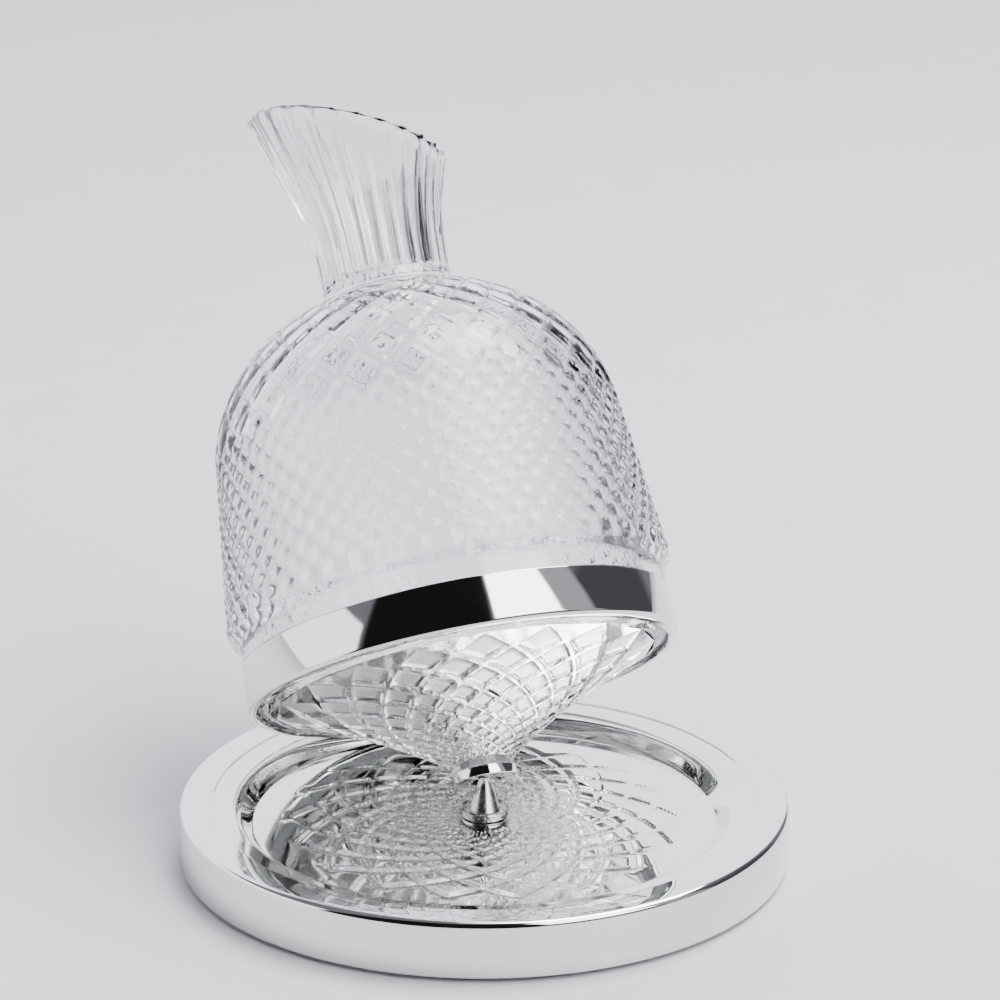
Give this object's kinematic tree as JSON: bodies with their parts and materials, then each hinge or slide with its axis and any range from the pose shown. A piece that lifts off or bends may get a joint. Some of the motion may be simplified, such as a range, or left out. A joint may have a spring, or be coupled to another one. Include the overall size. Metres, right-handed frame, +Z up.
{
  "type": "revolving decanter",
  "caption": "Cut-glass decanter with a polished metal band that leans on a cone-pin pivot and rolls round inside the dish of a weighted round base.",
  "frame": {"origin": "centre of the underside, on the surface that the base stands on", "axes": "+Z up along the base's own axis; +Y the way the vessel leans at rest; +X to its right"},
  "size_m": [0.2, 0.2614, 0.2294],
  "materials": {
    "chrome_plate": "polished",
    "chrome_dish": "polished, pressed rosette pattern",
    "rubber": "matte",
    "cast_iron": "as cast",
    "steel": "zinc finish",
    "foam_pad": "fine closed foam",
    "zinc_steel": "bright zinc",
    "bronze": "turned",
    "race_steel": "turned and polished",
    "ball_steel": "ground and polished",
    "satin_steel": "satin turned",
    "spring_steel": "blackened",
    "crystal": "clear cut glass",
    "clear_cement": "clear cured cement"
  },
  "bodies": {
    "base": {"base_shell": "chrome_plate", "embossed_dish": "chrome_dish", "dish_gasket": "rubber", "ballast_ring": "cast_iron", "bottom_plate": "steel", "base_pad": "foam_pad", "plate_screws": "zinc_steel", "hub_screws": "zinc_steel", "hub_block": "steel", "hub_bush": "bronze", "lower_race": "race_steel", "bearing_balls": "ball_steel", "ball_cage": "bronze"},
    "pin": {"upper_race": "race_steel", "pivot_pin": "satin_steel", "pin_washer": "zinc_steel", "retaining_ring": "spring_steel"},
    "ball": {"tip_ball": "ball_steel"},
    "vessel": {"glass_bell": "crystal", "glass_cone": "crystal", "joint_cement": "clear_cement", "rolling_band": "chrome_plate", "band_cement": "clear_cement", "seat_disc": "chrome_plate", "seat_cup": "ball_steel", "seat_cement": "clear_cement"}
  },
  "joints": [
    {"name": "roll_round", "type": "hinge", "parent": "base", "child": "pin", "pos_m": [0, 0, 0.0275], "axis": [0, 0, 1], "continuous": true},
    {"name": "lean", "type": "hinge", "parent": "pin", "child": "ball", "pos_m": [0, 0, 0.0275], "axis": [1, 0, 0], "range_deg": [0, 70.65]},
    {"name": "spin", "type": "hinge", "parent": "ball", "child": "vessel", "pos_m": [0, 0, 0.0275], "axis": [0, 0.5782, 0.8159], "continuous": true}
  ]
}
